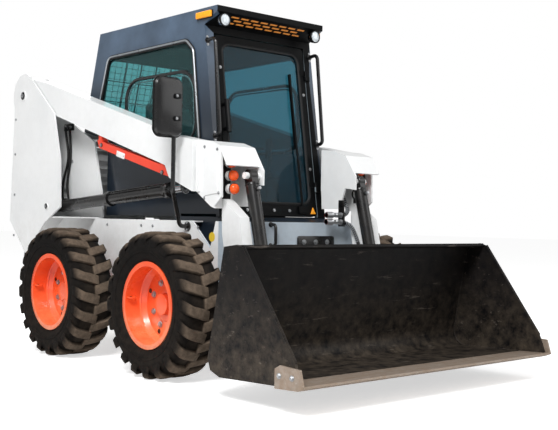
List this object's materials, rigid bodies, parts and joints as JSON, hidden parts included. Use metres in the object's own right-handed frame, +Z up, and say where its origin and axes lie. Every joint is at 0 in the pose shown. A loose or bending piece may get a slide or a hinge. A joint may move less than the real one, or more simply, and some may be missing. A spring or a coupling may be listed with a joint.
{
  "type": "skid steer loader",
  "caption": "Compact four-wheeled skid steer loader with glazed cab, boom arms raised by long side cylinders, knee-mounted tilt cylinders and a wide front bucket",
  "frame": {"origin": "on the ground, in the middle of the machine's width and length as parked", "axes": "+Z up, the machine faces -Y, its left side is +X"},
  "size_m": [1.841, 3.3543, 2.028],
  "materials": {
    "amber_lens": "amber lens",
    "black_paint": "black paint, worn and dusty",
    "black_plastic": "black plastic",
    "cab_paint": "dark slate paint",
    "chrome_rod": "polished hard chrome",
    "dark_steel": "black paint, semi-gloss",
    "hose_rubber": "black hose",
    "lamp_lens": "clear lens",
    "orange_bar": "orange-red paint",
    "orange_rim": "orange-red paint, satin",
    "seat_vinyl": "black vinyl",
    "tyre": "worn black rubber, brown dust",
    "white_paint": "white paint, satin, a little dusty",
    "window_glass": "tinted glass",
    "worn_steel": "bare worn steel"
  },
  "bodies": {
    "chassis": {"chassis_frame": "white_paint", "tower_left": "white_paint", "tower_right": "white_paint", "rear_bumper": "white_paint", "engine_block": "dark_steel", "cab_frame": "cab_paint", "cab_windows": "window_glass", "seat_base": "seat_vinyl", "seat_cushion": "seat_vinyl", "seat_back": "seat_vinyl", "control_levers": "black_plastic", "work_lamps": "lamp_lens", "marker_lamps": "amber_lens", "grab_handles": "cab_paint", "side_mirror": "black_plastic", "axle_tubes": "dark_steel", "front_guard": "dark_steel"},
    "boom": {"boom_arm_left": "white_paint", "boom_arm_right": "white_paint", "boom_cross_tube": "white_paint", "knee_lamps": "amber_lens", "arm_brace": "orange_bar", "arm_hoses": "hose_rubber"},
    "bucket": {"bucket_shell": "black_paint", "cutting_edge": "worn_steel", "hitch_frame": "dark_steel"},
    "door": {"door_frame": "cab_paint", "door_glass": "window_glass"},
    "rear_gate": {"tailgate": "white_paint"},
    "hood_lid": {"hood": "white_paint"},
    "wheel_front_left": {"tyre_front_left": "tyre", "rim_front_left": "orange_rim"},
    "wheel_front_right": {"tyre_front_right": "tyre", "rim_front_right": "orange_rim"},
    "wheel_rear_left": {"tyre_rear_left": "tyre", "rim_rear_left": "orange_rim"},
    "wheel_rear_right": {"tyre_rear_right": "tyre", "rim_rear_right": "orange_rim"},
    "lift_barrel_left": {"lift_barrel_left": "dark_steel"},
    "lift_rod_left": {"lift_rod_left": "chrome_rod"},
    "tilt_barrel_left": {"tilt_barrel_left": "dark_steel"},
    "tilt_rod_left": {"tilt_rod_left": "chrome_rod"},
    "lift_barrel_right": {"lift_barrel_right": "dark_steel"},
    "lift_rod_right": {"lift_rod_right": "chrome_rod"},
    "tilt_barrel_right": {"tilt_barrel_right": "dark_steel"},
    "tilt_rod_right": {"tilt_rod_right": "chrome_rod"}
  },
  "joints": [
    {"name": "wheel_front_left_spin", "type": "hinge", "parent": "chassis", "child": "wheel_front_left", "pos_m": [0.763, -0.42, 0.38479], "axis": [1, 0, 0], "continuous": true},
    {"name": "wheel_front_right_spin", "type": "hinge", "parent": "chassis", "child": "wheel_front_right", "pos_m": [-0.763, -0.42, 0.38479], "axis": [1, 0, 0], "continuous": true},
    {"name": "wheel_rear_left_spin", "type": "hinge", "parent": "chassis", "child": "wheel_rear_left", "pos_m": [0.763, 0.629, 0.38479], "axis": [1, 0, 0], "continuous": true},
    {"name": "wheel_rear_right_spin", "type": "hinge", "parent": "chassis", "child": "wheel_rear_right", "pos_m": [-0.763, 0.629, 0.38479], "axis": [1, 0, 0], "continuous": true},
    {"name": "boom_lift", "type": "hinge", "parent": "chassis", "child": "boom", "pos_m": [0, 1.492, 1.655], "axis": [-1, 0, 0], "range_deg": [-1.5, 60]},
    {"name": "bucket_tilt", "type": "hinge", "parent": "boom", "child": "bucket", "pos_m": [0, -0.81, 0.24], "axis": [1, 0, 0], "range_deg": [-22, 95]},
    {"name": "lift_cylinder_left_swing", "type": "hinge", "parent": "chassis", "child": "lift_barrel_left", "pos_m": [0.538, 1.135, 0.902], "axis": [-1, 0, 0], "range_deg": [-1.62, 57.08]},
    {"name": "lift_cylinder_left_stroke", "type": "slide", "parent": "lift_barrel_left", "child": "lift_rod_left", "axis": [0, -0.9973, 0.074], "range_m": [-0.0227, 0.8301]},
    {"name": "tilt_cylinder_left_swing", "type": "hinge", "parent": "boom", "child": "tilt_barrel_left", "pos_m": [0.41, -0.69, 1.07], "axis": [-1, 0, 0], "range_deg": [-1.3, 5.05]},
    {"name": "tilt_cylinder_left_stroke", "type": "slide", "parent": "tilt_barrel_left", "child": "tilt_rod_left", "axis": [0, -0.2459, -0.9693], "range_m": [-0.0584, 0.2466]},
    {"name": "lift_cylinder_right_swing", "type": "hinge", "parent": "chassis", "child": "lift_barrel_right", "pos_m": [-0.538, 1.135, 0.902], "axis": [-1, 0, 0], "range_deg": [-1.62, 57.08]},
    {"name": "lift_cylinder_right_stroke", "type": "slide", "parent": "lift_barrel_right", "child": "lift_rod_right", "axis": [0, -0.9973, 0.074], "range_m": [-0.0227, 0.8301]},
    {"name": "tilt_cylinder_right_swing", "type": "hinge", "parent": "boom", "child": "tilt_barrel_right", "pos_m": [-0.41, -0.69, 1.07], "axis": [-1, 0, 0], "range_deg": [-1.3, 5.05]},
    {"name": "tilt_cylinder_right_stroke", "type": "slide", "parent": "tilt_barrel_right", "child": "tilt_rod_right", "axis": [0, -0.2459, -0.9693], "range_m": [-0.0584, 0.2466]},
    {"name": "door_swing", "type": "hinge", "parent": "chassis", "child": "door", "pos_m": [0.342, -0.34653, 1.38015], "axis": [0, 0.153, 0.9882], "range_deg": [0, 80]},
    {"name": "tailgate_swing", "type": "hinge", "parent": "chassis", "child": "rear_gate", "pos_m": [-0.443, 1.641, 0.89], "axis": [0, 0, 1], "range_deg": [0, 95]},
    {"name": "hood_lift", "type": "hinge", "parent": "chassis", "child": "hood_lid", "pos_m": [0, 1.077, 1.41], "axis": [1, 0, 0], "range_deg": [0, 60]}
  ],
  "couplings": [
    {"joint": "lift_cylinder_left_swing", "follows": "boom_lift", "ratio": 0.9463},
    {"joint": "lift_cylinder_left_stroke", "follows": "boom_lift", "m_per_rad": 0.7898},
    {"joint": "tilt_cylinder_left_swing", "follows": "bucket_tilt", "ratio": 0.05},
    {"joint": "tilt_cylinder_left_stroke", "follows": "bucket_tilt", "m_per_rad": 0.1469},
    {"joint": "lift_cylinder_right_swing", "follows": "boom_lift", "ratio": 0.9463},
    {"joint": "lift_cylinder_right_stroke", "follows": "boom_lift", "m_per_rad": 0.7898},
    {"joint": "tilt_cylinder_right_swing", "follows": "bucket_tilt", "ratio": 0.05},
    {"joint": "tilt_cylinder_right_stroke", "follows": "bucket_tilt", "m_per_rad": 0.1469}
  ]
}
